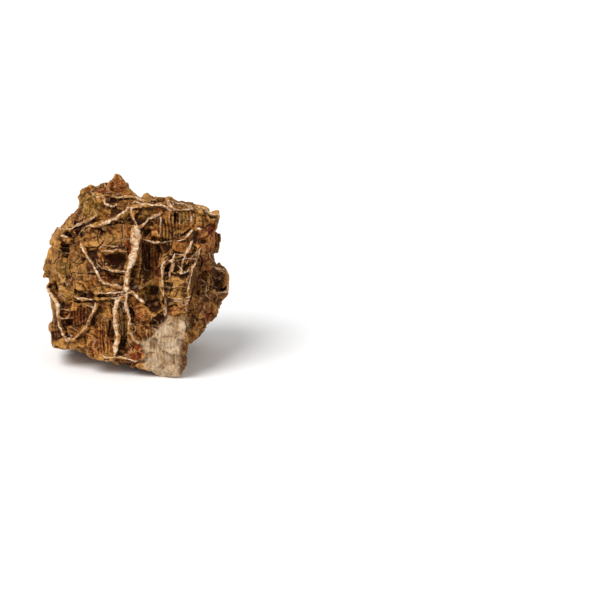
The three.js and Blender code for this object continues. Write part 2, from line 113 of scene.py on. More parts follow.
# Standing veins of the front view: width, how far each stands out, how pale it is, and its path.
FRONT_VEINS = [
    ("shoulder", 1.6, 1.4, 0.9, [(-62, 121), (-58, 119.5), (-50, 120), (-47, 121.5), (-41, 124), (-36, 126),
     (-30, 129.5)]),
    ("shoulder foot", 2.8, 1.6, 0.8, [(-58, 115), (-53, 112.5)]),
    ("arch", 1.4, 1.2, 0.7, [(-44, 115), (-43, 117), (-40, 120), (-37, 122), (-33, 121.5), (-30, 120.5)]),
    ("brow", 3.6, 2.0, 1.0, [(-28, 122), (-24, 123.5), (-19, 125)]),
    ("brow rise", 1.8, 1.6, 1.0, [(-19, 125.5), (-15, 126), (-12, 128.5), (-9, 131), (-6, 134), (-2, 134),
     (3, 136), (8, 137), (14, 136.5), (21, 136), (24, 134), (28, 132.5)]),
    ("brow right", 1.4, 1.2, 0.8, [(28, 132.5), (33, 132.5), (40, 132.5), (46, 132)]),
    ("crown", 1.2, 1.2, 0.8, [(-19, 144), (-12, 143.5), (-5, 143.8), (0, 143), (3, 141.5), (8, 139.5)]),
    ("crown low", 1.2, 1.0, 0.8, [(-3, 138), (0, 139.5), (4, 138), (8, 137)]),
    ("knob", 2.0, 1.5, 0.8, [(-34, 148), (-31, 144.5), (-28, 143.5), (-25, 144), (-24, 141), (-23, 138.5),
     (-20, 136.5), (-17, 136), (-15, 138)]),
    ("tuft", 3.4, 1.6, 0.9, [(25, 139), (27, 136), (29, 134.5)]),
    ("tuft right", 1.6, 1.2, 0.8, [(29, 139), (33, 137), (37, 138), (41, 136), (45, 133)]),
    ("corner lip", 1.6, 1.2, 0.8, [(50, 136), (52, 134), (56, 131), (61, 128.5), (66, 129)]),
    ("left fork", 1.5, 1.4, 0.9, [(-3.5, 134), (-3, 129), (-1, 124), (1, 120)]),
    ("right fork", 1.5, 1.4, 0.8, [(4, 119), (8, 123), (10, 126), (14, 127.5), (20, 130)]),
    ("rib", 1.4, 1.2, 0.6, [(19, 131), (19.5, 124), (19, 118), (18, 112)]),
    ("grey band", 2.6, 0.8, 0.7, [(43, 127), (43, 121)]),
    ("thin band", 1.4, 0.8, 0.6, [(34, 130), (34, 121)]),
    ("slash", 1.9, 1.6, 0.9, [(32, 108), (37, 110), (41, 113), (44, 117), (51, 117)]),
    ("recess lintel", 1.3, 1.2, 0.7, [(5, 110), (10, 109), (14, 107.5), (20, 107), (28, 109)]),
    ("trunk head", 9.0, 2.4, 0.95, [(0, 118), (0, 112), (-0.5, 106)]),
    ("trunk", 6.4, 2.6, 0.9, [(0, 108), (-1, 100), (-4.5, 92), (-7, 86)]),
    ("trunk neck", 4.2, 2.2, 0.85, [(-7, 87), (-8, 80), (-8.5, 75), (-8, 70)]),
    ("cell lid", 1.1, 1.2, 0.8, [(-27, 102), (-22, 101.5), (-15, 102.5), (-7, 101)]),
    ("cell brow", 1.3, 1.3, 0.6, [(-28, 108), (-25, 106.5), (-20, 105.5), (-14, 104.5)]),
    ("upper shelf", 1.7, 1.8, 0.9, [(-31, 96), (-30, 91), (-27, 88.5), (-20, 86.5), (-12, 85.3),
     (-9, 85.5)]),
    ("diagonal", 1.7, 1.7, 0.95, [(-43, 109), (-42, 105), (-39, 99), (-35, 93), (-32, 88), (-30, 83),
     (-28.5, 79), (-25, 77), (-22, 76.5), (-20, 75), (-16, 74.5), (-12, 72.5), (-8, 71)]),
    ("slot lid", 1.3, 1.5, 0.8, [(-34, 69), (-31, 69), (-25, 68.5), (-20, 69.5), (-14, 69), (-9, 70)]),
    ("slot sill", 1.5, 1.5, 0.85, [(-50, 67), (-47, 65), (-40, 64.5), (-34, 64)]),
    ("slot sill right", 1.3, 1.3, 0.8, [(-20, 64.5), (-15, 65), (-11, 66), (-8, 69)]),
    ("left bend", 1.9, 1.6, 0.8, [(-32, 62), (-32.5, 59), (-33, 57), (-35, 54), (-37, 50), (-39.5, 46)]),
    ("left bend foot", 1.3, 1.1, 0.6, [(-40, 45), (-41, 42), (-45, 38.5), (-50, 34), (-56, 31)]),
    ("left arm", 1.3, 1.2, 0.7, [(-41, 60), (-37, 58.5), (-33, 57.5)]),
    ("left edge", 3.0, 1.8, 1.0, [(-73, 75), (-70, 71), (-67, 67), (-63.5, 62), (-62.5, 56), (-63, 51)]),
    ("left edge foot", 1.7, 1.5, 0.85, [(-63, 50), (-62, 44), (-60, 40), (-59, 36), (-57, 32), (-55, 30)]),
    ("left rung", 1.1, 1.0, 0.7, [(-62, 49.5), (-56, 49.5), (-51, 50)]),
    ("left rung high", 1.0, 0.9, 0.5, [(-61, 56.5), (-52, 56)]),
    ("ring", 1.0, 1.0, 0.7, [(-58, 34), (-55, 36.5), (-52, 35.5), (-53, 33), (-57, 33)]),
    ("left leg", 3.6, 2.2, 0.9, [(-12, 66), (-16, 62), (-17, 57), (-18, 52), (-17.5, 46), (-16.5, 40),
     (-16, 34), (-17.5, 28), (-18.5, 23), (-19, 20)]),
    ("leg web", 3.0, 1.0, 0.7, [(-12, 62), (-11, 57), (-10.5, 54)]),
    ("leg rib", 1.2, 0.9, 0.45, [(-13, 55), (-13, 46), (-12, 36)]),
    ("right leg", 2.0, 1.6, 0.85, [(-8, 68), (-9, 62), (-8, 54), (-6.5, 47), (-7, 41), (-6, 37), (-4, 33),
     (-2, 31), (1, 29)]),
    ("leg loop", 1.1, 1.0, 0.7, [(-7, 44), (-4, 44), (-2, 41), (-3, 37), (-6, 37)]),
    ("junction right", 2.2, 1.8, 0.9, [(-8, 70), (-4, 69), (-1, 66.5), (1, 64), (5, 60.5)]),
    ("hem", 1.3, 1.1, 0.8, [(-30, 21), (-26, 18.5), (-20, 18), (-15, 18.5), (-10, 17.5), (-5, 15.5),
     (0, 14)]),
    ("net hole left", 1.8, 1.4, 0.9, [(19.5, 80), (19.5, 85), (20, 90), (23, 93), (27, 92.5), (30, 98)]),
    ("net cream", 3.0, 1.4, 0.95, [(29, 91.5), (27, 86), (25, 80)]),
    ("net top", 1.1, 1.2, 0.8, [(30, 98), (36, 97.5), (40, 99.5), (42, 104), (44, 109)]),
    ("net second", 1.0, 1.2, 0.7, [(30, 92), (36, 95), (41, 94.5), (47, 94)]),
    ("net third", 1.1, 1.2, 0.8, [(31, 90), (35, 86), (33, 83), (38, 84), (42, 87), (46, 92), (48, 98),
     (50, 103)]),
    ("net fall", 1.1, 1.2, 0.7, [(43, 108), (39, 100), (36, 93), (35, 88)]),
    ("net rise", 1.0, 1.1, 0.7, [(36, 87), (40, 93), (44, 97), (50, 103)]),
    ("net foot", 1.4, 1.3, 0.8, [(46, 92), (43, 86), (41, 80), (40, 74), (39, 68)]),
    ("block left", 2.0, 1.3, 0.85, [(19.5, 80), (20, 73), (19.5, 66)]),
    ("block left foot", 3.4, 1.2, 0.75, [(21.5, 64), (21.5, 57), (21, 50)]),
    ("block shelf", 1.1, 1.1, 0.6, [(23, 73), (26, 72), (31, 73.5), (37, 72)]),
    ("block sill", 1.3, 1.2, 0.7, [(24, 64.5), (30, 63.5), (38, 64), (43, 65.5)]),
    ("block sill low", 1.2, 1.1, 0.7, [(25, 60), (30, 61.5), (36, 60.5), (41, 62.5)]),
    ("block right", 1.2, 1.0, 0.6, [(38, 60), (38, 53)]),
    ("handle", 1.6, 1.5, 0.75, [(60, 88), (63, 86.5), (68, 86), (71, 84), (73, 80), (73, 74), (72, 68),
     (67, 67), (61, 67)]),
    ("wing thread", 1.0, 1.0, 0.5, [(51, 78), (55, 74), (54, 66), (58, 61)]),
]

# Gaps between the blocks of the front view, cut in and darkened with painted shade: width, depth and path.
FRONT_GAPS = [
    ("crown gap", 2.2, 3.0, [(-14, 141.5), (-9, 142), (-4, 141.5), (1, 141), (5, 139.8)]),
    ("crown step", 1.4, 2.0, [(12, 139), (18, 137)]),
    ("top gap", 1.6, 2.0, [(40, 138.5), (46, 135.5), (49, 135)]),
    ("corner gap", 2.6, 3.0, [(52, 133), (55, 130), (59, 127), (64, 126)]),
    ("under the brow", 1.6, 2.0, [(-29, 119), (-24, 121), (-18, 122), (-12, 124)]),
    ("under the shoulder", 1.5, 2.0, [(-50, 118), (-44, 121), (-38, 123), (-31, 127)]),
    ("pillow gap", 1.8, 3.0, [(-40, 105.5), (-37, 104), (-30, 104.5), (-27, 106.5), (-25, 110)]),
    ("pillow seam", 1.0, 1.5, [(-29, 119), (-30, 113), (-29, 108)]),
    ("cell brow gap", 1.0, 1.6, [(-27, 106), (-20, 104), (-13, 103.5)]),
    ("shelf gap", 2.0, 3.0, [(-27, 87.5), (-20, 85), (-14, 83.5), (-10, 82.5)]),
    ("slot", 2.2, 4.0, [(-33, 67), (-26, 66.5), (-20.5, 66.3)]),
    ("slot right", 1.6, 3.0, [(-20, 67.6), (-13.5, 68)]),
    ("sill gap", 1.8, 3.0, [(-50, 62.7), (-44, 62.3), (-35, 62.8)]),
    ("bend gap", 2.4, 3.0, [(-30, 62), (-26, 62.8), (-21, 62)]),
    ("leg column", 3.6, 4.0, [(-22, 48), (-22, 40), (-22.5, 33)]),
    ("leg column top", 1.8, 2.0, [(-21, 60), (-20.5, 52)]),
    ("right of the leg", 1.5, 2.0, [(-5, 62), (-3.5, 54), (-3, 48)]),
    ("trunk shade", 2.6, 3.0, [(6, 108), (6, 98), (5, 90), (3, 82), (2, 76)]),
    ("trunk left", 1.4, 1.6, [(-7, 104), (-6, 96), (-9, 90)]),
    ("slash gap", 2.0, 2.4, [(34, 111.5), (39, 114.5), (43, 119)]),
    ("band gap", 2.4, 2.4, [(31, 131), (31, 122)]),
    ("band gap right", 1.3, 1.6, [(46, 131), (46, 121)]),
    ("block gap", 1.6, 2.4, [(24.5, 57.5), (28, 59), (31, 58)]),
    ("net hole", 3.0, 3.0, [(22, 86), (24.5, 90)]),
    ("wing gap", 2.0, 2.4, [(44, 80), (45, 72), (42, 64), (40, 57)]),
    ("wing step", 1.6, 2.0, [(49, 98), (52, 92), (50, 86)]),
    ("edge strip", 1.6, 1.6, [(65.5, 124), (66, 112), (66, 104)]),
    ("left facet seam", 1.4, 1.6, [(-66, 93), (-64, 96), (-60, 98)]),
    ("plate seam", 1.3, 1.8, [(-52, 95), (-52.5, 88), (-51, 82)]),
    ("stack seam", 1.2, 1.6, [(-50, 93), (-45, 92), (-41, 93)]),
    ("stack seam low", 1.2, 1.6, [(-50, 86), (-45, 84.5), (-40, 85)]),
    ("stack foot", 1.2, 1.6, [(-48, 78), (-43, 76), (-40, 71)]),
    ("panel seam", 1.2, 1.6, [(-33, 46), (-33, 36), (-34, 24)]),
    ("panel seam right", 1.1, 1.4, [(-28, 44), (-28.5, 34), (-27, 25)]),
    ("hem pit", 1.8, 2.0, [(-28, 15.5), (-24, 16.5)]),
    ("hem pit right", 1.6, 2.0, [(-21, 14.5), (-16, 15)]),
    ("quartz seam", 1.2, 1.4, [(36, 47), (38, 42), (37, 36)]),
    ("leg loop hole", 2.0, 2.0, [(-5, 41), (-4, 39)]),
]

# Pits of the front view: depth and outline.
FRONT_PITS = [
    ("crown hole", 4.0, [(-22, 144), (-16, 143.5), (-13, 141), (-16, 138.5), (-21, 138)]),
    ("below the crown", 2.5, [(-20, 135), (-14, 136), (-9, 134), (-12, 129), (-19, 127)]),
    ("left slot", 4.0, [(-55, 117), (-50, 118.5), (-45, 114.5), (-48, 112), (-53, 114)]),
    ("left hole", 5.0, [(-58.5, 110), (-54, 110), (-51.5, 102), (-54, 96.5), (-58.5, 98), (-59, 104)]),
    ("pillow foot", 3.0, [(-39, 103), (-30, 103), (-29, 96), (-31, 91), (-35, 95)]),
    ("cell", 3.0, [(-26, 100), (-8, 100), (-7, 90), (-16, 88), (-26, 92)]),
    ("cell corner", 2.0, [(-14, 99), (-8, 99), (-8, 93), (-12, 93)]),
    ("left hole low", 3.0, [(-65.5, 77), (-62, 76), (-61.5, 69), (-65, 70)]),
    ("left spot", 2.0, [(-70, 78), (-67.5, 77), (-68, 74), (-70, 75)]),
    ("purple cell", 2.0, [(-39, 92), (-33, 88), (-32, 82), (-39, 83)]),
    ("red cell", 2.0, [(-60, 62), (-52, 62), (-52, 57), (-60, 57)]),
    ("red cell low", 2.0, [(-59, 49), (-51, 49), (-51, 43), (-57, 43)]),
    ("striped cell", 1.5, [(-47, 61), (-41, 60), (-40, 49), (-46, 46)]),
    ("black hole", 5.0, [(5.5, 118), (11.5, 118), (12, 112), (5.5, 112)]),
    ("channel", 3.0, [(4.5, 108), (9, 107), (12, 95), (10, 78), (5, 76), (3, 86), (4, 98)]),
    ("channel foot", 2.5, [(10, 74), (18, 76), (18, 66), (8, 66)]),
    ("junction hole", 3.0, [(-0.5, 67.5), (3, 66), (3, 62.5), (0, 62.5)]),
    ("net hole", 4.0, [(20.5, 85), (21, 89), (24, 91.5), (26.5, 90), (24, 85)]),
    ("net cell", 2.5, [(38, 92), (44, 92), (43, 88), (38, 86)]),
    ("net cell high", 2.0, [(41, 103), (46, 104), (45, 98), (41, 98)]),
    ("wing hole", 4.0, [(61, 79), (69, 79), (69, 69), (61, 69)]),
    ("wing notch", 3.0, [(61, 97), (66, 94), (66, 90), (61, 90)]),
    ("wing low", 2.0, [(40, 38), (47, 34), (46, 30), (40, 29)]),
    ("bend shade", 2.0, [(-31, 60), (-24, 58), (-27, 52), (-33, 53)]),
]

# Places of the front view that have a colour of their own, are darkened as painted shade (the dark ones),
# stand
# in ribs or are smooth: middle, half width and half height, and strength.
FRONT_PLACES = {
    "rust": [
        ("shoulder", (57, 113), (9, 7), 1.0), ("shoulder low", (55, 104), (8, 4), 0.8),
        ("trunk spot", (-6.5, 108.5), (2.2, 2.4), 1.0), ("trunk stripe", (-5, 100), (1.4, 6), 0.8),
        ("brow spot", (-7, 118.5), (2, 1.6), 0.8), ("pillow spot", (-36, 112), (3, 2.4), 0.5),
        ("cell", (-18, 96), (9, 5), 0.6), ("lower cells", (-22, 81), (8, 3), 0.6),
        ("peak", (-16, 154), (5, 6), 0.7), ("peak left", (-26, 149), (6, 3), 0.7),
        ("hem", (-2, 20), (6, 8), 1.0), ("panel", (-28, 33), (8, 11), 0.7),
        ("panel foot", (-35, 27), (4, 8), 0.7), ("red cells", (-50, 52), (10, 8), 0.6),
        ("orange face", (1, 53), (4, 9), 0.7), ("wing low", (55, 50), (5, 7), 0.9),
        ("wing", (53, 95), (4, 5), 0.5), ("wing spot", (55, 86), (3, 3), 0.7),
        ("black hole side", (15, 114), (4, 5), 0.5), ("gap foot", (28, 54), (5, 3), 0.8),
        ("left rim", (-71, 58), (3, 5), 0.7), ("recess back", (14, 92), (4, 12), 0.4),
        ("quartz edge", (35, 25), (1.8, 8), 0.6),
    ],
    "tan": [
        ("left facet", (-66, 104), (5, 18), 0.65), ("left facet top", (-60, 121), (5, 5), 0.6),
        ("left facet low", (-69, 86), (4, 10), 0.5), ("pillow", (-34, 108), (7, 3), 0.6),
        ("pillow right", (-21, 110), (8, 4), 0.5), ("stack", (-46, 88), (6, 11), 0.6),
        ("stack foot", (-46, 70), (7, 6), 0.6), ("shelf", (-26, 73), (9, 3), 0.7),
        ("corner slab", (57, 132), (8, 4), 0.8), ("block", (29, 76), (9, 5), 0.7),
        ("block foot", (30, 62), (8, 3), 0.6), ("hem", (-25, 18), (6, 4), 0.9),
        ("low left", (-53, 27), (8, 5), 0.7), ("left rim", (-58, 70), (5, 8), 0.5),
        ("crown", (8, 143), (10, 3), 0.6), ("quartz brow", (31, 50), (7, 4), 0.6),
    ],
    "olive": [
        ("knob", (-35, 137), (9, 11), 0.8), ("plate", (-59, 88), (7, 7), 0.9),
        ("brow right", (8, 131), (5, 6), 0.7), ("rise", (-7, 128), (3, 6), 0.8),
        ("block face", (29, 68), (9, 5), 0.5), ("legs", (-12, 44), (3, 9), 0.8),
        ("band", (37, 127), (4, 6), 0.8), ("right band", (49, 127), (5, 6), 0.7),
        ("net spot", (29.5, 85), (2, 3), 1.0), ("quartz spot", (34, 41), (3, 4), 0.8),
        ("channel low", (10, 72), (10, 6), 0.7), ("left low", (-57, 66), (4, 5), 0.7),
    ],
    "plum": [
        ("pillow foot", (-33, 98), (6, 6), 0.8), ("stack side", (-35, 87), (4, 6), 0.8),
        ("striped cell", (-44, 54), (4, 7), 0.9), ("left facet foot", (-67, 42), (5, 12), 0.8),
        ("bend", (-28, 60), (4, 3), 0.6), ("channel side", (14, 68), (4, 4), 0.6),
        ("below the quartz top", (15, 46), (6, 4), 0.5), ("wing", (48, 84), (6, 10), 0.4),
    ],
    # Painted shade: recesses, holes and faces turned from the light, darkened towards the shadow colour.
    "dark": [
        ("recess", (8, 92), (5, 20), 0.75), ("recess back", (15, 92), (6, 16), 0.35),
        ("recess top", (28, 114), (9, 9), 0.3), ("wing", (62, 86), (6, 12), 0.5),
        ("wing foot", (46, 60), (6, 10), 0.5), ("left foot", (-66, 40), (5, 16), 0.4),
        ("right side", (52, 66), (14, 34), 0.5), ("right side low", (44, 36), (6, 9), 0.5),
        ("quartz side", (35.8, 13), (4.4, 14), 0.8), ("leg column", (-22, 40), (3, 9), 0.8),
        ("plate", (-59, 88), (6, 6), 0.35), ("left of the hem", (-3, 8), (6, 3), 0.7),
        ("wing hole", (65, 74), (5, 6), 0.7),
    ],
    "ribs": [
        ("panel", (-29, 34), (8, 14), 1.0), ("striped cell", (-45, 52), (7, 10), 0.8),
        ("legs", (-12, 45), (4, 13), 1.0), ("recess top", (26, 118), (9, 12), 1.0),
        ("bands", (38, 126), (8, 7), 0.9), ("left facet", (-68, 45), (5, 18), 0.7),
        ("wing", (50, 84), (5, 12), 0.6), ("quartz", (20, 24), (14, 22), 0.6),
        ("channel", (10, 96), (7, 16), 0.8),
    ],
    "smooth": [
        ("left facet", (-67, 101), (7, 25), 1.0), ("left foot", (-69, 48), (5, 24), 0.7),
        ("plate", (-60, 88), (6, 7), 0.6), ("pillow", (-30, 108), (14, 7), 0.5),
        ("channel", (10, 94), (7, 18), 0.5),
    ],
}
QUARTZ_OUTLINE = [
    (4, 12), (5, 27), (0, 30), (9, 32), (12, 38), (20, 43), (24, 49), (31, 50), (37, 48), (38, 42),
    (36, 33), (35, 24), (34, 8), (32, -2), (12, -1),
]


def linear(red, green, blue):
    """The scene colour of a colour given as it looks on a screen, 0 to 255."""
    def channel(value):
        share = value / 255
        return share / 12.92 if share <= 0.04045 else ((share + 0.055) / 1.055) ** 2.4
    return tuple(channel(value) for value in (red, green, blue))


def smooth_step(low, high, values):
    share = np.clip((values - low) / (high - low), 0.0, 1.0)
    return share * share * (3.0 - 2.0 * share)


# Repeatable noise and fragments, worked out for all points at once.

CELL_FACTORS = (73856093, 19349663, 83492791)
SALT_FACTOR = 668265263
MIXERS = ((15, 0x2C1B3C6D), (12, 0x297A2D39))
WORD = 0xFFFFFFFF


def lattice_random(cells, salt):
    """A repeatable number from 0 to 1 for each whole-number cell."""
    mixed = salt * SALT_FACTOR
    for axis, factor in enumerate(CELL_FACTORS):
        mixed = mixed ^ cells[:, axis] * factor
    mixed &= WORD
    for shift, factor in MIXERS:
        mixed = ((mixed ^ (mixed >> shift)) * factor) & WORD
    return (mixed ^ (mixed >> 15)) / (WORD + 1.0)


def soft_noise(points, size, salt):
    """Smooth noise from -1 to 1 whose bumps are about this size, another one for each salt."""
    scaled = points / size
    base = np.floor(scaled).astype(np.int64)
    blend = scaled - base
    blend = blend * blend * (3.0 - 2.0 * blend)
    total = np.zeros(len(points))
    sides = (1.0 - blend, blend)
    for x, y, z in np.ndindex(2, 2, 2):
        share = sides[x][:, 0] * sides[y][:, 1] * sides[z][:, 2]
        total += share * lattice_random(base + (x, y, z), salt)
    return total * 2.0 - 1.0


def layered_noise(points, size, layers, salt):
    """Soft noise with finer and weaker layers of it on top."""
    total = np.zeros(len(points))
    for layer in range(layers):
        total += soft_noise(points, size / 2**layer, salt + layer) / 2**layer
    return total


def warped(points, size, reach, salt):
    """The points pushed about by soft noise, so that what is built on them isn't straight."""
    push = np.stack([soft_noise(points, size, salt + axis) for axis in range(3)], axis=1)
    return points + reach * push


def fragments(points, size, salt):
    """The broken blocks that the points lie in: a random number for each block, how far each point lies
    from its block's middle, the way to the nearest border between blocks, and a number for that border."""
    scale = np.asarray(size, float)
    scaled = points / scale
    base = np.floor(scaled).astype(np.int64)
    near, second = np.full(len(points), np.inf), np.full(len(points), np.inf)
    near_seed, second_seed = np.zeros_like(scaled), np.zeros_like(scaled)
    number, next_number = np.zeros(len(points)), np.zeros(len(points))
    for offset in np.ndindex(3, 3, 3):
        cells = base + (np.array(offset) - 1)
        seed = cells + np.stack([lattice_random(cells, salt + axis) for axis in range(3)], axis=1)
        own = lattice_random(cells, salt + 7)
        distance = np.sum((seed - scaled) ** 2, axis=1)
        first = distance < near
        later = ~first & (distance < second)
        second_seed[first], next_number[first] = near_seed[first], number[first]
        second_seed[later], next_number[later] = seed[later], own[later]
        second = np.where(first, near, np.where(later, distance, second))
        near_seed[first], number[first] = seed[first], own[first]
        near = np.where(first, distance, near)
    across = unit((second_seed - near_seed) * scale)
    halfway = ((near_seed + second_seed) / 2.0 - scaled) * scale
    border = across * np.sum(halfway * across, axis=1, keepdims=True)
    return number, (scaled - near_seed) * scale, border, (number + next_number) % 1.0


def in_beds(points):
    """The points turned so that the stone's tilted beds lie level."""
    turned = points.copy()
    turned[:, 0] = points[:, 0] * math.cos(BED_DIP) - points[:, 2] * math.sin(BED_DIP)
    turned[:, 2] = points[:, 0] * math.sin(BED_DIP) + points[:, 2] * math.cos(BED_DIP)
    return turned


# The front view, in which the veins and the places of colour are drawn.


def picture(points):
    """Where each point lies in the front view."""
    drawn = points - DRAWN_MIDDLE
    return np.stack([drawn[:, 0], drawn @ PICTURE_UP - FOOT_CORNER_HEIGHT], axis=1)


def path_offset(spots, path):
    """The way from the nearest point of a path to each spot of the front view, and how far along the
    path that point is, from 0 to 1."""
    corners = np.array(path, float)
    lengths = np.linalg.norm(np.diff(corners, axis=0), axis=1)
    travelled = np.concatenate([[0.0], np.cumsum(lengths)]) / lengths.sum()
    offset, along = np.full((len(spots), 2), 1e6), np.zeros(len(spots))
    for start, end, low, high in zip(corners, corners[1:], travelled, travelled[1:]):
        step = end - start
        share = np.clip((spots - start) @ step / (step @ step), 0.0, 1.0)
        other = spots - start - share[:, None] * step
        closer = np.sum(other**2, axis=1) < np.sum(offset**2, axis=1)
        offset[closer] = other[closer]
        along[closer] = low + (high - low) * share[closer]
    return offset, along


def inside_outline(spots, outline):
    """How far each spot lies inside an outline, negative outside it."""
    corners = np.array(outline, float)
    crossings = np.zeros(len(spots), bool)
    for (ax, ay), (bx, by) in zip(corners, np.roll(corners, -1, axis=0)):
        spans = (ay > spots[:, 1]) != (by > spots[:, 1])
        slope = (bx - ax) / (by - ay) if by != ay else 0.0
        crossings ^= spans & (spots[:, 0] < ax + slope * (spots[:, 1] - ay))
    distance = np.linalg.norm(path_offset(spots, [*outline, outline[0]])[0], axis=1)
    return np.where(crossings, distance, -distance)


def place_strength(spots, kind, ragged):
    """How strongly the places of one kind cover each spot, with ragged edges."""
    strength = np.zeros(len(spots))
    for _, middle, half, most in FRONT_PLACES[kind]:
        reach = np.linalg.norm((spots - np.array(middle, float)) / np.array(half, float), axis=1)
        strength = np.maximum(strength, most * (1.0 - smooth_step(*PLACE_EDGE, reach + ragged)))
    return strength


def front_share(points, normals):
    """1 where the stone is drawn in the front view, 0 on its far side and far down its flanks."""
    facing = smooth_step(-0.15, 0.15, -(normals @ SIGHT))
    return facing * (1.0 - smooth_step(*FLANK_DEPTHS, points @ SIGHT))


# The stone's mesh.


def mesh_arrays(mesh):
    """The mesh's points in millimetres, their normals, and the points that each edge joins."""
    points = np.empty(len(mesh.vertices) * 3, np.float32)
    normals = np.empty(len(mesh.vertices) * 3, np.float32)
    edges = np.empty(len(mesh.edges) * 2, np.int32)
    mesh.vertices.foreach_get("co", points)
    mesh.vertices.foreach_get("normal", normals)
    mesh.edges.foreach_get("vertices", edges)
    return (points.reshape(-1, 3).astype(float) / MM, normals.reshape(-1, 3).astype(float),
            edges.reshape(-1, 2))


def write_points(mesh, points):
    """Moves the mesh's points here, in millimetres."""
    mesh.vertices.foreach_set("co", (points * MM).astype(np.float32).ravel())
    mesh.update()


def spread_out(values, edges, rounds):
    """Each row of values averaged with its neighbours', this many times."""
    ends = np.concatenate([edges[:, 0], edges[:, 1]])
    others = np.concatenate([edges[:, 1], edges[:, 0]])
    count = np.maximum(np.bincount(ends, minlength=len(values)), 1)[:, None]
    for _ in range(rounds):
        sums = np.stack(
            [np.bincount(ends, column[others], len(values)) for column in values.T], axis=1)
        values = 0.5 * values + 0.5 * sums / count
    return values


def unit(vectors):
    return vectors / np.maximum(np.linalg.norm(vectors, axis=1, keepdims=True), 1e-9)


def with_modifier(mesh, kind, **settings):
    """A new mesh: this one after a single modifier."""
    draft = bpy.data.objects.new("draft", mesh)
    bpy.context.scene.collection.objects.link(draft)
    modifier = draft.modifiers.new(kind, kind)
    for name, value in settings.items():
        setattr(modifier, name, value)
    depsgraph = bpy.context.evaluated_depsgraph_get()
    made = bpy.data.meshes.new_from_object(
        draft.evaluated_get(depsgraph), preserve_all_data_layers=True, depsgraph=depsgraph)
    bpy.data.objects.remove(draft)
    return made


def remeshed(mesh, voxel):
    return with_modifier(mesh, "REMESH", mode="VOXEL", voxel_size=voxel * MM)


def thinned(mesh, most):
    """The mesh with at most this many triangles."""
    triangles = sum(len(face.vertices) - 2 for face in mesh.polygons)
    return with_modifier(mesh, "DECIMATE", ratio=min(1.0, most / triangles))


def without_crumbs(mesh):
    """The mesh without the small bits that hang free of it."""
    ends = mesh_arrays(mesh)[2]
    labels = np.arange(len(mesh.vertices))
    while True:
        lowest = np.minimum(labels[ends[:, 0]], labels[ends[:, 1]])
        if np.array_equal(lowest, np.maximum(labels[ends[:, 0]], labels[ends[:, 1]])):
            break
        np.minimum.at(labels, ends[:, 0], lowest)
        np.minimum.at(labels, ends[:, 1], lowest)
        labels = labels[labels]
    main = np.bincount(labels).argmax()
    work = bmesh.new()
    work.from_mesh(mesh)
    loose = [vertex for vertex, label in zip(work.verts, labels.tolist()) if label != main]
    bmesh.ops.delete(work, geom=loose, context="VERTS")
    work.to_mesh(mesh)
    work.free()
    return mesh


def store(mesh, name, values):
    """Keeps one value or one vector for each point of the mesh."""
    kind, field = ("FLOAT", "value") if values.ndim == 1 else ("FLOAT_VECTOR", "vector")
    layer = mesh.attributes.get(name) or mesh.attributes.new(name, kind, "POINT")
    layer.data.foreach_set(field, values.astype(np.float32).ravel())


def stored(mesh, name):
    values = np.empty(len(mesh.vertices), np.float32)
    mesh.attributes[name].data.foreach_get("value", values)
    return values.astype(float)


def wandering_spots(points):
    """The front view's spots, pushed about a little so that drawn lines aren't smooth."""
    push = np.stack([soft_noise(points, 4.5, 91) + 0.5 * soft_noise(points, 1.7, 94),
                     soft_noise(points, 4.5, 92) + 0.5 * soft_noise(points, 1.7, 95)], axis=1)
    return picture(points) + WANDER * push


def block_borders(points, sizes):
    return fragments(in_beds(warped(points, 18.0, 2.6, 11)), sizes.block_size * BLOCK_SHAPE, 20)


def broken_relief(points, sizes):
    """Blocks that stand at different heights and lean, with cracks between them."""
    number, offset, border, _ = block_borders(points, sizes)
    lean = np.stack([np.cos(number * 41.0), np.sin(number * 67.0), np.cos(number * 23.0)], axis=1)
    relief = sizes.block_relief * (number - 0.5) * 2.0 + BLOCK_LEAN * np.sum(offset * lean, axis=1)
    return relief - sizes.crack_depth * (1.0 - smooth_step(0.2, 1.3, np.linalg.norm(border, axis=1)))


def pit_depth(points, normals):
    """How far the drawn pits sink each point of the front."""
    spots = wandering_spots(points)
    depth = np.zeros(len(points))
    for _, deep, outline in FRONT_PITS:
        depth = np.maximum(depth, deep * smooth_step(-0.4, 1.6, inside_outline(spots, outline)))
    return depth * front_share(points, normals)


def chipped_relief(points, sizes):
    """Small chips, thin beds and grain over the blocks."""
    beds = in_beds(warped(points, 7.0, 1.1, 31))
    number, offset, border, _ = fragments(beds, sizes.chip_size * CHIP_SHAPE, 40)
    relief = sizes.chip_relief * ((number - 0.5) * 2.0 + CHIP_LEAN * offset[:, 2])
    relief -= 1.2 * sizes.chip_relief * (1.0 - smooth_step(0.0, 0.7, np.linalg.norm(border, axis=1)))
    banded = smooth_step(0.0, 0.5, soft_noise(points, 21.0, 51))
    waves = np.sin(beds[:, 2] * 2 * math.pi / BED_SPACING + 3.0 * soft_noise(points, 9.0, 52))
    return relief + BED_RELIEF * banded * waves + GRAIN_RELIEF * layered_noise(points, 2.2, 2, 61)


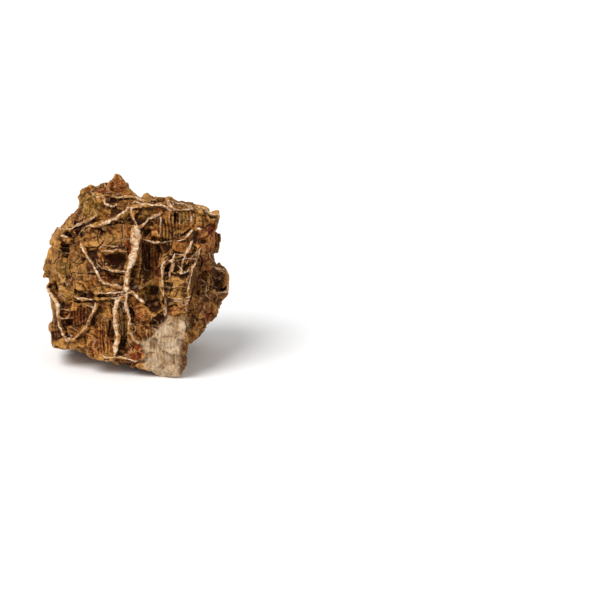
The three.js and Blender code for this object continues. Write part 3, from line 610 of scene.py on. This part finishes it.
def drawn_lines(points, lines, front, salt):
    """The nearest drawn line of each point: the way to it as a share of the line's half width, how much it
    counts there, and how far the line stands out or goes in."""
    seen = np.nonzero(front > 0.0)[0]
    spots = wandering_spots(points[seen])
    swell = 0.8 + 0.35 * soft_noise(points[seen], 5.0, salt) + 0.2 * soft_noise(points[seen], 2.0, salt + 1)
    uneven = 0.7 + 0.5 * soft_noise(points[seen], 3.0, salt + 2)
    reach = np.full((len(seen), 2), 1e6)
    counts, height = np.zeros(len(seen)), np.zeros(len(seen))
    for _, width, most, *strength, path in lines:
        offset, along = path_offset(spots, path)
        taper = 0.45 + 0.55 * smooth_step(0.0, TAPERED_SHARE, np.minimum(along, 1.0 - along))
        offset = offset / (width / 2.0 * swell * taper)[:, None]
        distance = np.linalg.norm(offset, axis=1)
        closer = distance < np.linalg.norm(reach, axis=1)
        reach[closer] = offset[closer]
        counts[closer] = strength[0] if strength else 1.0
        height = np.maximum(height, most * uneven * (1.0 - smooth_step(0.35, 1.15, distance)))
    near = counts * front[seen] * (1.0 - smooth_step(*DRAWN_FADE, np.linalg.norm(reach, axis=1)))
    way = np.full((len(points), 3), OUT_OF_REACH)
    way[seen] = np.pad(np.clip(reach, -OUT_OF_REACH, OUT_OF_REACH), ((0, 0), (0, 1)))
    all_near, all_height = np.zeros(len(points)), np.zeros(len(points))
    all_near[seen], all_height[seen] = near, height * front[seen]
    return way, all_near, all_height


def vein_net(mesh, points, front, sizes):
    """The standing nets all round the stone, thinner on the drawn front. The blocks' borders that aren't
    filled by a vein are kept as cracks."""
    number, _, border, edge = block_borders(points, sizes)
    filled = edge < sizes.net_share
    gap = np.where(filled[:, None], OUT_OF_REACH, border / CRACK_HALF_WIDTH)
    # The cracks are darkened in the material as painted shade.
    crack = 1.0 - smooth_step(*NET_FADE, np.linalg.norm(gap, axis=1))
    store(mesh, "block", number)
    store(mesh, "crack_reach", np.clip(gap, -OUT_OF_REACH, OUT_OF_REACH))
    store(mesh, "crack_near", crack * (0.6 + 0.4 * front))
    swell = 1.0 + 0.3 * soft_noise(points, 4.0, 76)
    uneven = 0.75 + 0.4 * soft_noise(points, 3.5, 77)
    thin_spots, main_spots = warped(points, 9.0, 1.8, 71), warped(points, 17.0, 5.0, 81)
    _, _, thin_border, thin_edge = fragments(thin_spots, sizes.net_size * CHIP_SHAPE, 72)
    _, _, main_border, main_edge = fragments(main_spots, sizes.great_net_size * NET_SHAPE, 82)
    thin = (thin_edge < 0.4) & (soft_noise(points, 19.0, 75) > 0.0)
    # Way to the net, where it has veins, half width, height, paleness, and how much of it shows.
    nets = (
        (border, filled, 0.5, 0.9, 0.7, 1.0 - 0.4 * front),
        (thin_border, thin, 0.36, 0.6, 0.6, 1.0 - 0.4 * front),
        (main_border, main_edge < 0.85, 0.95, 1.2, 1.0, 1.0 - front),
    )
    reach = np.full((len(points), 3), OUT_OF_REACH)
    near, height = np.zeros(len(points)), np.zeros(len(points))
    for way, there, half_width, tall, strength, share in nets:
        there = (there & (share > 0.05))[:, None]
        way = np.where(there, way / (half_width * swell)[:, None], OUT_OF_REACH)
        distance = np.linalg.norm(way, axis=1)
        closer = distance < np.linalg.norm(reach, axis=1)
        reach[closer] = way[closer]
        near = np.where(closer, strength * share * (1.0 - smooth_step(*NET_FADE, distance)), near)
        height = np.maximum(height, tall * uneven * share * (1.0 - smooth_step(0.4, 1.3, distance)))
    return np.clip(reach, -OUT_OF_REACH, OUT_OF_REACH), near, height


def at_outline(normals):
    """1 where the stone turns out of sight, 0 away from its outline in the front view."""
    return np.exp(-((normals @ SIGHT / OUTLINE_BAND) ** 2))


def healed(mesh, voxel, width):
    """The mesh with the narrow clefts of its far side filled: swollen, fused and shrunk back."""
    for way in (width, -width):
        points, normals, edges = mesh_arrays(mesh)
        lift = unit(spread_out(normals, edges, HEALED_ROUNDS))
        write_points(mesh, points + lift * (way * smooth_step(0.15, 0.5, lift @ SIGHT))[:, None])
        mesh = remeshed(mesh, voxel)
    return mesh


def stone_mesh(solid, sizes):
    """The CAD solid broken up, chipped and veined."""
    coarse, fine = ((sizes.coarse_voxel, sizes.fine_voxel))
    mesh = healed(remeshed(solid, coarse), coarse, sizes.healing)
    points, normals, edges = mesh_arrays(mesh)
    lift = unit(spread_out(normals, edges, HEALED_ROUNDS))
    front = front_share(points, lift)
    smooth = place_strength(picture(points), "smooth", 0.0) * front
    worn = np.maximum.reduce([1.0 - front, smooth, OUTLINE_WEAR * at_outline(lift)])
    points += (spread_out(points, edges, WEAR_ROUNDS) - points) * worn[:, None]
    write_points(mesh, points)
    points, normals, edges = mesh_arrays(mesh)
    lift = unit(spread_out(normals, edges, BLOCK_ROUNDS))
    relief = broken_relief(points, sizes) * (1.0 - OUTLINE_CALM * at_outline(lift))
    relief *= FAR_SIDE_RELIEF + FRONT_MORE_RELIEF * front
    relief *= 1.0 - 0.6 * smooth
    write_points(mesh, points + lift * relief[:, None] + SIGHT * pit_depth(points, lift)[:, None])
    mesh = remeshed(mesh, fine)
    points, normals, edges = mesh_arrays(mesh)
    lift = unit(spread_out(normals, edges, CHIP_ROUNDS))
    front = front_share(points, lift)
    vein_reach, vein_near, vein_height = drawn_lines(points, FRONT_VEINS, front, 93)
    gap_reach, gap_near, gap_depth = drawn_lines(points, FRONT_GAPS, front, 97)
    net_reach, net_near, net_height = vein_net(mesh, points, front, sizes)
    spots = picture(points)
    quartz = smooth_step(-1.5, 2.0, inside_outline(spots, QUARTZ_OUTLINE)) * front
    ribs = place_strength(spots, "ribs", 0.3 * soft_noise(points, 6.0, 55)) * front
    ribbed = np.sin(spots[:, 0] * 2 * math.pi / RIB_SPACING + 2.4 * soft_noise(points, 9.0, 56))
    smooth = place_strength(spots, "smooth", 0.0) * front
    on_vein = smooth_step(0.1, 0.6, vein_height)
    calm = 1.0 - np.maximum.reduce([0.6 * on_vein, 0.85 * quartz, 0.55 * smooth])
    calm *= 1.0 - OUTLINE_CALM * at_outline(lift)
    relief = calm * (chipped_relief(points, sizes) + net_height - gap_depth)
    relief += sizes.vein_height * vein_height + RIB_RELIEF * ribs * ribbed * (1.0 - on_vein)
    for name, reach, near in (("vein", vein_reach, vein_near), ("gap", gap_reach, gap_near),
                              ("net", net_reach, net_near)):
        store(mesh, f"{name}_reach", reach)
        store(mesh, f"{name}_near", near)
    # The pits' depth, which the material darkens as painted shade.
    store(mesh, "pit", smooth_step(0.5, 3.0, pit_depth(points, lift)))
    low, high = (np.array(corner) / MM for corner in CAD_BOX)
    write_points(mesh, np.clip(points + lift * relief[:, None], low, high))
    mesh = without_crumbs(thinned(mesh, sizes.most_triangles))
    write_points(mesh, np.clip(mesh_arrays(mesh)[0], low, high))
    return mesh


def paint_stone(mesh, sizes):
    """The masks that the stone's material mixes its colours by."""
    points, normals, edges = mesh_arrays(mesh)
    close = spread_out(points, edges, CLOSE_ROUNDS)
    wide = spread_out(close, edges, WIDE_ROUNDS)
    fine_depth = np.sum((points - close) * normals, axis=1)
    wide_depth = np.sum((points - wide) * normals, axis=1)
    spots = wandering_spots(points)
    ragged = 0.4 * layered_noise(points, 6.0, 2, 101)
    front = front_share(points, unit(spread_out(normals, edges, MASK_ROUNDS)))
    number = stored(mesh, "block")
    quartz = smooth_step(-2.5, 2.5, inside_outline(spots, QUARTZ_OUTLINE) + 7.0 * ragged) * front
    elsewhere = 0.9 * (1.0 - front) * smooth_step(0.5, 0.75, soft_noise(points, 26.0, 111))
    store(mesh, "quartz", np.maximum(quartz, elsewhere))
    # Painted shade: hollows and fine creases, found by how far each point sinks below its smoothed
    # neighbours, are darkened in the material.
    hollow_shade = 0.8 * smooth_step(0.1, 1.5, -wide_depth) + 0.35 * smooth_step(0.03, 0.3, -fine_depth)
    store(mesh, "hollow_shade", np.clip(hollow_shade, 0.0, 1.0))
    # Painted highlight: points that stand above their smoothed neighbours, on ridges and raised edges, are
    # lightened in the material.
    store(mesh, "edge", 0.6 * smooth_step(0.05, 0.3, fine_depth) + 0.4 * smooth_step(0.3, 1.4, wide_depth))
    # On the front the dark places are painted shade; on the far side every kind, dark too, is random patches
    # of tone.
    for salt, name in enumerate(("rust", "tan", "olive", "plum", "dark")):
        drawn = place_strength(spots, name, ragged)
        patches = soft_noise(points, 17.0, 121 + 10 * salt) + 0.5 * (number - 0.5)
        other = 0.75 * smooth_step(0.1, 0.6, patches) * (0.5 if name == "dark" else 1.0)
        store(mesh, name, front * drawn + (1.0 - front) * other)


# The stone's material.

# What most of a noise's values lie between.
NOISE_SPAN = (0.3, 0.7)


class Nodes:
    """A material's node tree, with short calls for the nodes that the stone uses."""

    def __init__(self, material):
        self.tree = material.node_tree
        self.shader = self.tree.nodes["Principled BSDF"]

    def node(self, kind, inputs=(), **settings):
        made = self.tree.nodes.new(kind)
        for name, value in settings.items():
            setattr(made, name, value)
        for name, value in dict(inputs).items():
            if isinstance(value, bpy.types.NodeSocket):
                self.tree.links.new(value, made.inputs[name])
            else:
                made.inputs[name].default_value = value
        return made

    def mask(self, name):
        return self.node("ShaderNodeAttribute", attribute_name=name).outputs["Fac"]

    def line(self, name):
        """1 on the lines kept under this name, 0 off them, at any mesh spacing."""
        reach = self.node("ShaderNodeAttribute", attribute_name=f"{name}_reach").outputs["Vector"]
        distance = self.node("ShaderNodeVectorMath", {0: reach}, operation="LENGTH").outputs["Value"]
        on_line = self.range(distance, *LINE_EDGE)
        return self.times(on_line, self.mask(f"{name}_near"))

    def noise(self, per_mm, detail=4.0, roughness=0.6, stretch=(1.0, 1.0, 1.0)):
        place = self.node("ShaderNodeTexCoord").outputs["Object"]
        place = self.node("ShaderNodeVectorMath", {0: place, 1: stretch}, operation="MULTIPLY")
        inputs = {"Vector": place.outputs["Vector"], "Scale": per_mm / MM, "Detail": detail,
                  "Roughness": roughness}
        return self.node("ShaderNodeTexNoise", inputs).outputs["Fac"]

    def range(self, value, low, high, to_low=0.0, to_high=1.0):
        inputs = {"Value": value, "From Min": low, "From Max": high, "To Min": to_low, "To Max": to_high}
        return self.node("ShaderNodeMapRange", inputs, clamp=True).outputs["Result"]

    def math(self, operation, first, second):
        return self.node("ShaderNodeMath", {0: first, 1: second}, operation=operation).outputs["Value"]

    def plus(self, first, second):
        return self.math("ADD", first, second)

    def times(self, first, second):
        return self.math("MULTIPLY", first, second)

    def most(self, first, second):
        return self.math("MAXIMUM", first, second)

    def mix(self, share, first, second, blend="MIX"):
        inputs = {"Factor": share, "A": first, "B": second}
        made = self.tree.nodes.new("ShaderNodeMix")
        made.data_type = "RGBA"
        made.blend_type = blend
        for socket in made.inputs:
            if (socket.name, socket.type) in (("Factor", "VALUE"), ("A", "RGBA"), ("B", "RGBA")):
                value = inputs[socket.name]
                if isinstance(value, bpy.types.NodeSocket):
                    self.tree.links.new(value, socket)
                else:
                    socket.default_value = value if socket.name == "Factor" else (*value, 1.0)
        return next(socket for socket in made.outputs if socket.type == "RGBA")

    def ramp(self, value, stops):
        made = self.node("ShaderNodeValToRGB", {"Fac": value})
        elements = made.color_ramp.elements
        while len(elements) < len(stops):
            elements.new(0.5)
        for element, (position, colour) in zip(elements, stops):
            element.position = position
            element.color = (*colour, 1.0)
        return made.outputs["Color"]

    def shaded(self, colour, value, shades):
        """The colour made darker or lighter by a ramp of plain shades."""
        shade = self.ramp(value, [(position, (grey,) * 3) for position, grey in shades])
        return self.mix(1.0, colour, shade, "MULTIPLY")


def stone_material(colours):
    material = bpy.data.materials.new("veined_stone")
    material.use_nodes = True
    nodes = Nodes(material)
    blotch = nodes.noise(0.10, 5.0, 0.65)
    grain = nodes.noise(0.8, 6.0, 0.7)
    speck = nodes.noise(2.4, 3.0, 0.6)
    streak = nodes.noise(0.35, 4.0, 0.6, (1.6, 1.6, 0.35))
    ledge = nodes.noise(0.33, 6.0, 0.7, (0.5, 0.5, 1.7))
    stain = nodes.noise(0.28, 5.0, 0.7)

    # Blocks from dark brown to tan, patches of the other colours, banded ledges, and raised edges made pale
    # by a painted highlight.
    tone = nodes.plus(nodes.times(nodes.mask("block"), 0.42), nodes.times(blotch, 0.55))
    tone = nodes.plus(tone, nodes.range(grain, *NOISE_SPAN, -0.2, 0.2))
    colour = nodes.ramp(tone, [(0.2, colours.dark_brown), (0.45, colours.middle_brown),
                               (0.62, colours.ochre), (0.9, colours.tan)])
    rusty = nodes.ramp(nodes.range(grain, *NOISE_SPAN), [(0.2, colours.deep_rust), (0.75, colours.rust)])
    patches = (("olive", colours.olive), ("plum", colours.plum), ("rust", rusty), ("tan", colours.tan))
    for name, patch in patches:
        cover = nodes.times(nodes.mask(name), nodes.range(grain, 0.32, 0.6, 0.4, 1.0))
        colour = nodes.mix(cover, colour, patch)
    colour = nodes.shaded(colour, ledge, [(0.36, 0.48), (0.5, 0.92), (0.66, 1.5)])
    # Painted highlight on the raised edges, mixed towards tan.
    edge = nodes.times(nodes.mask("edge"), nodes.range(blotch, 0.35, 0.65, 0.3, 0.95))
    colour = nodes.mix(edge, colour, colours.tan)

    # The quartz, clouded and stained.
    cloud = nodes.plus(nodes.times(streak, 0.45), nodes.times(nodes.noise(0.12, 4.0), 0.55))
    quartz_tone = nodes.ramp(cloud, [(0.36, colours.quartz_stain), (0.47, colours.quartz),
                                     (0.6, colours.quartz_white)])
    cover = nodes.times(nodes.mask("quartz"), nodes.range(grain, 0.3, 0.5, 0.6, 1.0))
    colour = nodes.mix(cover, colour, quartz_tone)

    # Painted shade: the hollows, pits, gaps and cracks, and the front's dark places, darkened towards the
    # shadow colour, less of it on the quartz. On the far side the dark places are random darker patches.
    hollow_shade = nodes.times(nodes.mask("hollow_shade"), nodes.range(nodes.mask("quartz"), 0.0, 1.0, 1.0, 0.35))
    hollow_shade = nodes.most(hollow_shade, nodes.times(nodes.mask("pit"), 0.85))
    dark = nodes.times(nodes.mask("dark"), nodes.range(grain, *NOISE_SPAN, 1.0, 0.6))
    # Painted shade along the cracks between the blocks.
    cracks = nodes.times(nodes.line("crack"), nodes.range(nodes.mask("quartz"), 0.0, 1.0, 0.55, 0.1))
    dark = nodes.most(nodes.most(dark, nodes.most(nodes.line("gap"), cracks)), hollow_shade)
    colour = nodes.mix(nodes.times(dark, 0.9), colour, colours.shadow)

    # The fine net and the veins, from stained to white.
    net_tone = nodes.ramp(stain, [(0.32, colours.ochre), (0.45, colours.tan), (0.6, colours.vein)])
    cover = nodes.times(nodes.line("net"), nodes.range(grain, 0.28, 0.5, 0.5, 1.0))
    colour = nodes.mix(cover, colour, net_tone)
    vein_tone = nodes.ramp(stain, [(0.38, colours.ochre), (0.46, colours.vein_pink),
                                   (0.54, colours.vein), (0.63, colours.vein_white)])
    cover = nodes.times(nodes.line("vein"), nodes.range(grain, 0.3, 0.5, 0.45, 1.0))
    colour = nodes.mix(cover, colour, vein_tone)
    colour = nodes.shaded(colour, speck, [(0.25, 0.6), (0.7, 1.1)])
    nodes.tree.links.new(colour, nodes.shader.inputs["Base Color"])

    rough = nodes.range(grain, *NOISE_SPAN, 0.62, 0.9)
    rough = nodes.math("SUBTRACT", rough, nodes.times(nodes.mask("quartz"), 0.2))
    nodes.tree.links.new(rough, nodes.shader.inputs["Roughness"])
    nodes.shader.inputs["Specular IOR Level"].default_value = 0.14
    height = nodes.plus(nodes.noise(1.1, 7.0, 0.7), nodes.times(speck, 0.4))
    bump = nodes.node("ShaderNodeBump", {"Strength": 0.8, "Distance": 0.6 * MM, "Height": height})
    nodes.tree.links.new(bump.outputs["Normal"], nodes.shader.inputs["Normal"])
    return material


# The stage: camera, floor and lights. The lengths here are in metres.

SENSOR_WIDTH_MM = 36.0
NEAREST_SEEN, FARTHEST_SEEN = 0.05, 50.0
FLOOR_HALF = 9.0
FLOOR_GREY = (0.93, 0.93, 0.93, 1.0)
WHITE = (1.0, 1.0, 1.0, 1.0)
# Where each light comes from, and how many degrees of the sky it fills.
KEY_LIGHT = ((-1.0, -1.1, 1.9), 35.0)
FILL_LIGHT = ((0.8, -1.6, 0.8), 60.0)


def make_camera(stage):
    """A camera that sees the stone from the photograph's angle and at its place in the frame."""
    middle = DRAWN_MIDDLE + PICTURE_UP * (stage.stone_height + FOOT_CORNER_HEIGHT)
    middle = middle + SIGHT * stage.stone_depth
    eye = middle - SIGHT * stage.camera_distance
    target = middle + np.array([1.0, 0.0, 0.0]) * stage.stone_left - PICTURE_UP * stage.stone_above
    data = bpy.data.cameras.new("camera")
    data.lens = stage.lens
    data.sensor_width = SENSOR_WIDTH_MM
    data.clip_start, data.clip_end = NEAREST_SEEN, FARTHEST_SEEN
    camera = bpy.data.objects.new("camera", data)
    camera.location = Vector(eye) * MM
    direction = Vector(target - eye)
    camera.rotation_euler = direction.to_track_quat("-Z", "Y").to_euler()
    bpy.context.scene.collection.objects.link(camera)
    bpy.context.scene.camera = camera


def make_floor():
    corners = [(x * FLOOR_HALF, y * FLOOR_HALF, 0) for x, y in ((-1, -1), (1, -1), (1, 1), (-1, 1))]
    mesh = bpy.data.meshes.new("floor")
    mesh.from_pydata(corners, [], [(0, 1, 2, 3)])
    floor = bpy.data.objects.new("floor", mesh)
    material = bpy.data.materials.new("pale_floor")
    material.use_nodes = True
    shader = material.node_tree.nodes["Principled BSDF"]
    shader.inputs["Base Color"].default_value = FLOOR_GREY
    shader.inputs["Roughness"].default_value = 0.9
    shader.inputs["Specular IOR Level"].default_value = 0.1
    mesh.materials.append(material)
    bpy.context.scene.collection.objects.link(floor)


def make_light(name, place, softness, strength):
    data = bpy.data.lights.new(name, "SUN")
    data.energy = strength
    data.angle = math.radians(softness)
    light = bpy.data.objects.new(name, data)
    light.rotation_euler = (-Vector(place)).to_track_quat("-Z", "Y").to_euler()
    bpy.context.scene.collection.objects.link(light)


def make_world(strength):
    world = bpy.data.worlds.new("studio")
    world.use_nodes = True
    world.node_tree.nodes["Background"].inputs["Color"].default_value = WHITE
    world.node_tree.nodes["Background"].inputs["Strength"].default_value = strength
    bpy.context.scene.world = world


# The add-on.


def colour_property(name, red, green, blue):
    return FloatVectorProperty(name=name, description=f"Colour of the stone: {name.lower()}", subtype="COLOR",
                               size=3, min=0.0, max=1.0, default=linear(red, green, blue))


def length_property(name, description, default):
    return FloatProperty(name=name, description=f"{description}, in millimetres", default=default, min=0.0)


class RockSizes(bpy.types.PropertyGroup):
    """How the stone is broken up, chipped and veined."""
    block_size: length_property("Block size", "How long a broken block is", 11.0)
    block_relief: length_property("Block relief", "How far blocks stand above or below each other", 1.15)
    crack_depth: length_property("Crack depth", "How deep the cracks between blocks are", 1.3)
    healing: length_property("Healing", "Half the width of the clefts that are filled on the far side", 2.6)
    chip_size: length_property("Chip size", "How long a small chip is", 4.2)
    chip_relief: length_property("Chip relief", "How far chips stand above or below each other", 0.26)
    net_size: length_property("Net size", "How wide the meshes of the fine vein net are", 6.5)
    great_net_size: length_property("Great net size", "How wide the meshes of the thick veins are", 25.0)
    net_share: FloatProperty(name="Net share", description="How many of the cracks are filled with a vein",
                             default=0.42, min=0.0, max=1.0, subtype="FACTOR")
    vein_height: FloatProperty(name="Vein height", description="How much of its drawn height each vein has",
                               default=0.8, min=0.0, max=2.0, subtype="FACTOR")
    coarse_voxel: length_property("Coarse voxel", "Size of the first remesh", 1.0)
    fine_voxel: length_property("Fine voxel", "Size of the second remesh", 0.62)
    most_triangles: IntProperty(name="Most triangles", description="How many triangles the stone may have",
                                default=190000, min=1000)


class RockColours(bpy.types.PropertyGroup):
    """The stone's colours."""
    dark_brown: colour_property("Dark brown", 72, 31, 6)
    middle_brown: colour_property("Middle brown", 93, 48, 12)
    ochre: colour_property("Ochre", 134, 74, 15)
    tan: colour_property("Tan", 209, 152, 79)
    rust: colour_property("Rust", 164, 68, 26)
    deep_rust: colour_property("Deep rust", 95, 31, 10)
    olive: colour_property("Olive", 124, 90, 24)
    plum: colour_property("Plum brown", 88, 43, 27)
    # Painted shade: the colour that hollows, pits, gaps, cracks and dark places are darkened towards.
    shadow: colour_property("Painted shade in the hollows and cracks", 34, 12, 2)
    vein: colour_property("Vein", 238, 206, 168)
    vein_pink: colour_property("Pink vein", 204, 156, 110)
    vein_white: colour_property("White vein", 252, 236, 214)
    quartz: colour_property("Quartz", 176, 144, 108)
    quartz_white: colour_property("White quartz", 216, 191, 159)
    quartz_stain: colour_property("Stained quartz", 136, 96, 46)


class RockStage(bpy.types.PropertyGroup):
    """Where the camera stands and how bright the studio is."""
    camera_distance: length_property("Camera distance", "From the camera to the stone", 1600.0)
    stone_height: length_property("Stone height", "Height of the stone's middle in the front view", 81.2)
    stone_depth: FloatProperty(name="Stone depth", description="Depth of the stone's face, in millimetres",
                               default=-25.0)
    stone_left: length_property("Stone left", "How far the stone stands left of the frame's middle", 130.0)
    stone_above: length_property("Stone above", "How far the stone stands above the frame's middle", 21.6)
    lens: FloatProperty(name="Lens", description="Focal length in millimetres", default=120.0, min=10.0)
    key_strength: FloatProperty(name="Key light", description="Strength of the light from the upper left",
                                default=2.6, min=0.0)
    fill_strength: FloatProperty(name="Fill light", description="Strength of the light from the front",
                                 default=0.6, min=0.0)
    world_strength: FloatProperty(name="Studio glow", description="Light from all round",
                                  default=0.5, min=0.0)


class ROCK_OT_build_stone(bpy.types.Operator):
    """Builds the broken, veined stone over its CAD solid"""
    bl_idname = "rock.build_stone"
    bl_label = "Build the stone"

    def execute(self, context):
        sizes = context.scene.rock_sizes
        mesh = stone_mesh(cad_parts["stone"].data, sizes)
        paint_stone(mesh, sizes)
        mesh.materials.clear()
        mesh.materials.append(stone_material(context.scene.rock_colours))
        stone = bpy.data.objects.new("veined_stone", mesh)
        context.scene.collection.objects.link(stone)
        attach(stone, "root")
        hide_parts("stone")
        return {"FINISHED"}


class ROCK_OT_build_stage(bpy.types.Operator):
    """Sets up the camera, the pale floor and the soft studio light"""
    bl_idname = "rock.build_stage"
    bl_label = "Build the stage"

    def execute(self, context):
        stage = context.scene.rock_stage
        make_camera(stage)
        make_floor()
        make_light("key", *KEY_LIGHT, stage.key_strength)
        make_light("fill", *FILL_LIGHT, stage.fill_strength)
        make_world(stage.world_strength)
        context.scene.view_settings.view_transform = "Standard"
        return {"FINISHED"}


class ROCK_PT_rock(bpy.types.Panel):
    """Lists what can be changed about the rock and the buttons that build its stone and stage"""
    bl_idname = "ROCK_PT_rock"
    bl_label = "Maple leaf rock"
    bl_space_type = "VIEW_3D"
    bl_region_type = "UI"
    bl_category = "Rock"

    def draw(self, context):
        for group, operator in (("rock_sizes", None), ("rock_colours", "rock.build_stone"),
                                ("rock_stage", "rock.build_stage")):
            values = getattr(context.scene, group)
            for name in values.__annotations__:
                self.layout.prop(values, name)
            if operator:
                self.layout.operator(operator)


CLASSES = (RockSizes, RockColours, RockStage, ROCK_OT_build_stone, ROCK_OT_build_stage, ROCK_PT_rock)


def register():
    for made in CLASSES:
        bpy.utils.register_class(made)
    bpy.types.Scene.rock_sizes = PointerProperty(type=RockSizes)
    bpy.types.Scene.rock_colours = PointerProperty(type=RockColours)
    bpy.types.Scene.rock_stage = PointerProperty(type=RockStage)


def unregister():
    del bpy.types.Scene.rock_stage
    del bpy.types.Scene.rock_colours
    del bpy.types.Scene.rock_sizes
    for made in reversed(CLASSES):
        bpy.utils.unregister_class(made)


def main():
    register()
    bpy.ops.rock.build_stone()
    bpy.ops.rock.build_stage()
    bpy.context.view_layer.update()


if __name__ == "__main__":
    main()
